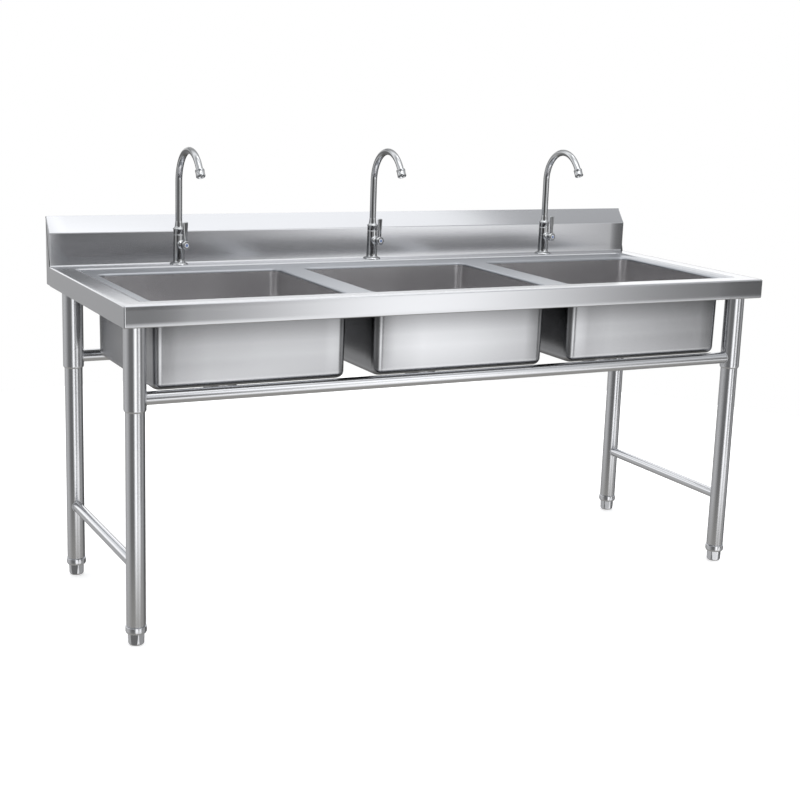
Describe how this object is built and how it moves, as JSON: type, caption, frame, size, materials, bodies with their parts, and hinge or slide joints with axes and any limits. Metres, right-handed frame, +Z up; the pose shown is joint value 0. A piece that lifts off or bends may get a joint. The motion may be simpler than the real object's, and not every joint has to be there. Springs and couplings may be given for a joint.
{
  "type": "three compartment sink",
  "caption": "Free-standing stainless steel catering sink: open bowls side by side, sloped splash-back, swivel gooseneck taps and lift-out strainers on a tube frame.",
  "frame": {"origin": "centre of the footprint on the floor", "axes": "+X along the length to the right seen from the front, +Y to the splash-back and the wall, +Z up"},
  "size_m": [1.8, 0.7, 1.137],
  "materials": {
    "satin_stainless": "satin stainless sheet",
    "polished_tube": "polished stainless tube",
    "chrome": "mirror chrome plate on brass",
    "grey_nylon": "moulded grey nylon",
    "black_rubber": "matt black rubber",
    "index_button": "gloss white button with a blue tint"
  },
  "bodies": {
    "stand": {"worktop": "satin_stainless", "backsplash": "satin_stainless", "bowl_left": "satin_stainless", "bowl_middle": "satin_stainless", "bowl_right": "satin_stainless", "channel_left": "satin_stainless", "channel_right": "satin_stainless", "sleeve_front_left": "polished_tube", "leg_front_left": "polished_tube", "insert_front_left": "polished_tube", "sleeve_front_right": "polished_tube", "leg_front_right": "polished_tube", "insert_front_right": "polished_tube", "sleeve_rear_left": "polished_tube", "leg_rear_left": "polished_tube", "insert_rear_left": "polished_tube", "sleeve_rear_right": "polished_tube", "leg_rear_right": "polished_tube", "insert_rear_right": "polished_tube", "rail_front": "polished_tube", "rail_rear": "polished_tube", "crossbar_left": "polished_tube", "crossbar_right": "polished_tube", "strainer_left": "satin_stainless", "drain_gasket_left": "black_rubber", "drain_nut_left": "grey_nylon", "tap_body_left": "chrome", "tap_nut_left": "chrome", "strainer_middle": "satin_stainless", "drain_gasket_middle": "black_rubber", "drain_nut_middle": "grey_nylon", "tap_body_middle": "chrome", "tap_nut_middle": "chrome", "strainer_right": "satin_stainless", "drain_gasket_right": "black_rubber", "drain_nut_right": "grey_nylon", "tap_body_right": "chrome", "tap_nut_right": "chrome"},
    "spout_left": {"spout_left": "chrome", "aerator_left": "chrome"},
    "spout_middle": {"spout_middle": "chrome", "aerator_middle": "chrome"},
    "spout_right": {"spout_right": "chrome", "aerator_right": "chrome"},
    "lever_left": {"lever_left": "chrome", "valve_stem_left": "chrome", "index_button_left": "index_button"},
    "lever_middle": {"lever_middle": "chrome", "valve_stem_middle": "chrome", "index_button_middle": "index_button"},
    "lever_right": {"lever_right": "chrome", "valve_stem_right": "chrome", "index_button_right": "index_button"},
    "basket_left": {"basket_left": "satin_stainless"},
    "basket_middle": {"basket_middle": "satin_stainless"},
    "basket_right": {"basket_right": "satin_stainless"},
    "foot_front_left": {"foot_front_left": "polished_tube"},
    "foot_front_right": {"foot_front_right": "polished_tube"},
    "foot_rear_left": {"foot_rear_left": "polished_tube"},
    "foot_rear_right": {"foot_rear_right": "polished_tube"}
  },
  "joints": [
    {"name": "spout_swivel_left", "type": "hinge", "parent": "stand", "child": "spout_left", "pos_m": [-0.5585, 0.291, 0.92], "axis": [0, 0, 1], "range_deg": [-90, 90]},
    {"name": "spout_swivel_middle", "type": "hinge", "parent": "stand", "child": "spout_middle", "pos_m": [0.016, 0.291, 0.92], "axis": [0, 0, 1], "range_deg": [-90, 90]},
    {"name": "spout_swivel_right", "type": "hinge", "parent": "stand", "child": "spout_right", "pos_m": [0.5905, 0.291, 0.92], "axis": [0, 0, 1], "range_deg": [-90, 90]},
    {"name": "lever_turn_left", "type": "hinge", "parent": "stand", "child": "lever_left", "pos_m": [-0.55074, 0.26202, 0.875], "axis": [0.2588, -0.9659, 0], "range_deg": [0, 90]},
    {"name": "lever_turn_middle", "type": "hinge", "parent": "stand", "child": "lever_middle", "pos_m": [0.02376, 0.26202, 0.875], "axis": [0.2588, -0.9659, 0], "range_deg": [0, 90]},
    {"name": "lever_turn_right", "type": "hinge", "parent": "stand", "child": "lever_right", "pos_m": [0.59826, 0.26202, 0.875], "axis": [0.2588, -0.9659, 0], "range_deg": [0, 90]},
    {"name": "basket_lift_left", "type": "slide", "parent": "stand", "child": "basket_left", "axis": [0, 0, 1], "range_m": [0, 0.08]},
    {"name": "basket_lift_middle", "type": "slide", "parent": "stand", "child": "basket_middle", "axis": [0, 0, 1], "range_m": [0, 0.08]},
    {"name": "basket_lift_right", "type": "slide", "parent": "stand", "child": "basket_right", "axis": [0, 0, 1], "range_m": [0, 0.08]},
    {"name": "foot_screw_front_left", "type": "slide", "parent": "stand", "child": "foot_front_left", "axis": [0, 0, -1], "range_m": [0, 0.015]},
    {"name": "foot_screw_front_right", "type": "slide", "parent": "stand", "child": "foot_front_right", "axis": [0, 0, -1], "range_m": [0, 0.015]},
    {"name": "foot_screw_rear_left", "type": "slide", "parent": "stand", "child": "foot_rear_left", "axis": [0, 0, -1], "range_m": [0, 0.015]},
    {"name": "foot_screw_rear_right", "type": "slide", "parent": "stand", "child": "foot_rear_right", "axis": [0, 0, -1], "range_m": [0, 0.015]}
  ]
}
